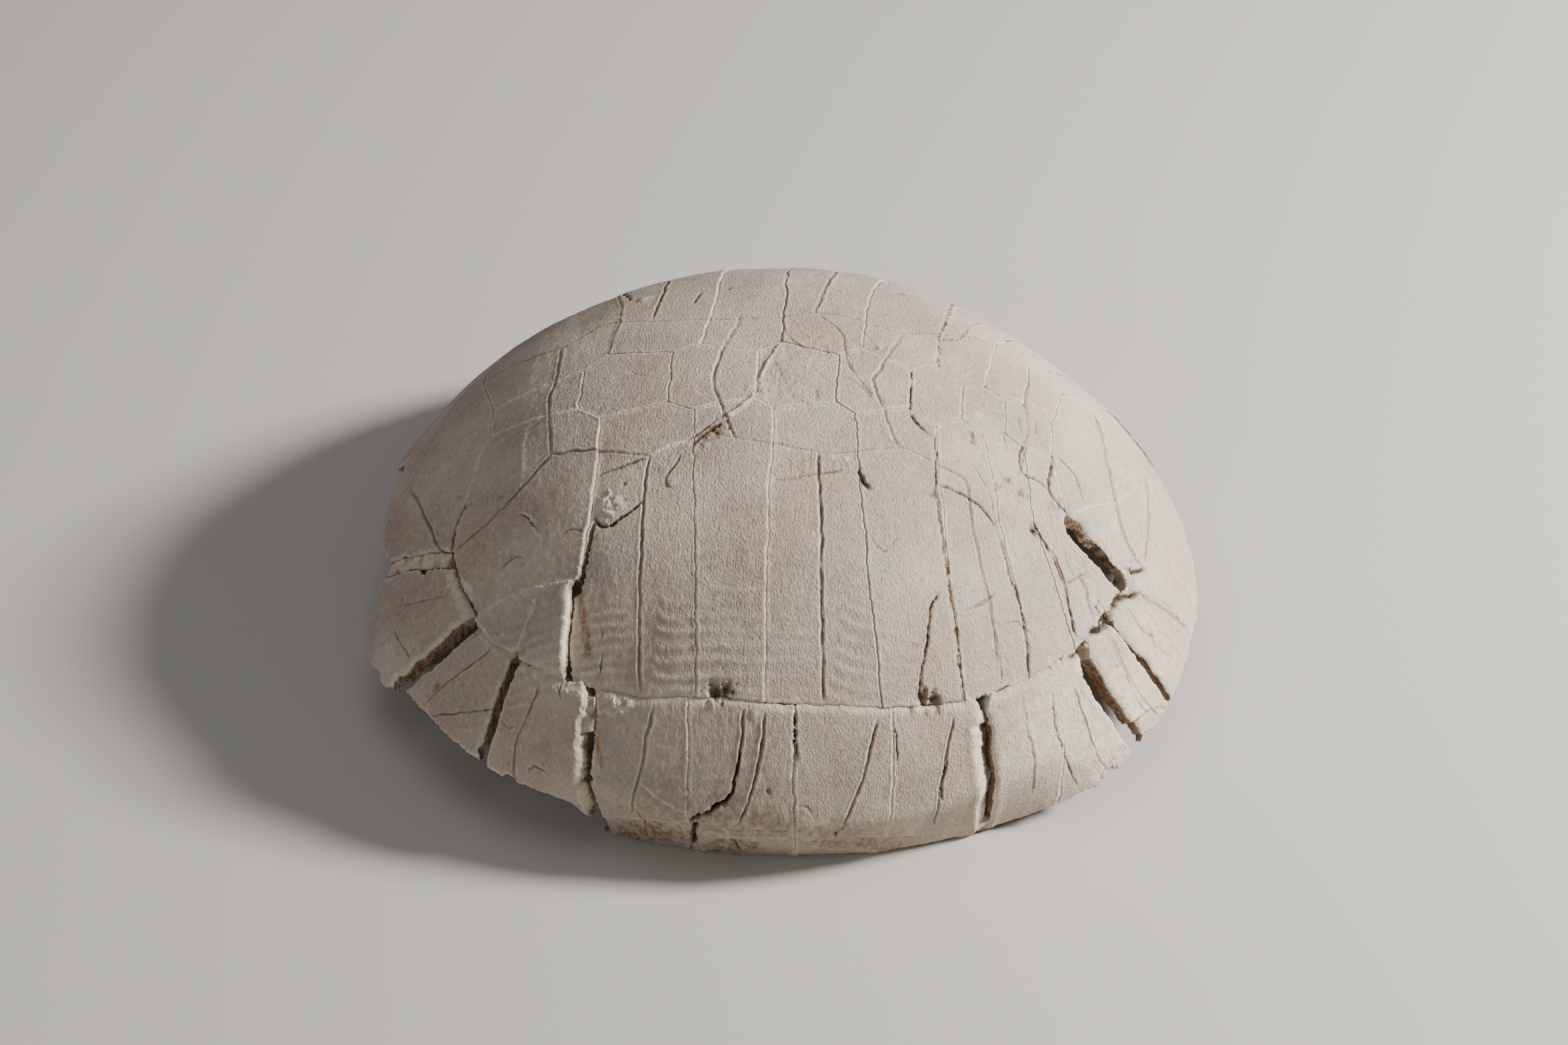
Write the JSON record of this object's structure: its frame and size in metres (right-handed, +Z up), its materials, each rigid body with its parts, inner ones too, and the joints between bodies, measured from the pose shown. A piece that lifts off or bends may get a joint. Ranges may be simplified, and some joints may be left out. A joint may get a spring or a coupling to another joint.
{
  "type": "fossil tortoise carapace",
  "caption": "Domed upper shell of a fossil tortoise: weathered bone plates with open sutures and scute grooves, hollow underneath, standing on the lower edges of its bridge.",
  "frame": {"origin": "middle of the shell's outline, at the height of the surface that the bridge stands on", "axes": "-X to the head end, +X to the tail end, -Y to the animal's left side and +Z up to the crown of the dome"},
  "size_m": [0.2884, 0.2541, 0.109],
  "materials": {
    "shell_bone": "matte",
    "margin_bone": "matte",
    "rock_matrix": "matte"
  },
  "bodies": {
    "root": {"nuchal": "shell_bone", "neural_1": "shell_bone", "neural_2": "shell_bone", "neural_3": "shell_bone", "neural_4": "shell_bone", "neural_5": "shell_bone", "neural_6": "shell_bone", "neural_7": "shell_bone", "neural_8": "shell_bone", "suprapygal_1": "shell_bone", "suprapygal_2": "shell_bone", "pygal": "margin_bone", "costal_left_1": "shell_bone", "costal_left_1_outer_end": "shell_bone", "costal_left_2": "shell_bone", "costal_left_3": "shell_bone", "costal_left_4": "shell_bone", "costal_left_5": "shell_bone", "costal_left_6": "shell_bone", "costal_left_7": "shell_bone", "costal_left_8": "shell_bone", "costal_right_1": "shell_bone", "costal_right_2": "shell_bone", "costal_right_3": "shell_bone", "costal_right_4": "shell_bone", "costal_right_5": "shell_bone", "costal_right_6": "shell_bone", "costal_right_7": "shell_bone", "costal_right_8": "shell_bone", "peripheral_left_1": "margin_bone", "peripheral_left_2": "margin_bone", "peripheral_left_3": "margin_bone", "peripheral_left_4": "margin_bone", "peripheral_left_5": "margin_bone", "peripheral_left_6": "margin_bone", "peripheral_left_7": "margin_bone", "peripheral_left_8": "margin_bone", "peripheral_left_9": "margin_bone", "peripheral_left_10": "margin_bone", "peripheral_left_11": "margin_bone", "peripheral_right_1": "margin_bone", "peripheral_right_2": "margin_bone", "peripheral_right_3": "margin_bone", "peripheral_right_4": "margin_bone", "peripheral_right_5": "margin_bone", "peripheral_right_6": "margin_bone", "peripheral_right_7": "margin_bone", "peripheral_right_8": "margin_bone", "peripheral_right_9": "margin_bone", "peripheral_right_10": "margin_bone", "peripheral_right_11": "margin_bone", "matrix_nuchal_left": "rock_matrix", "matrix_bridge_left": "rock_matrix"}
  },
  "joints": []
}
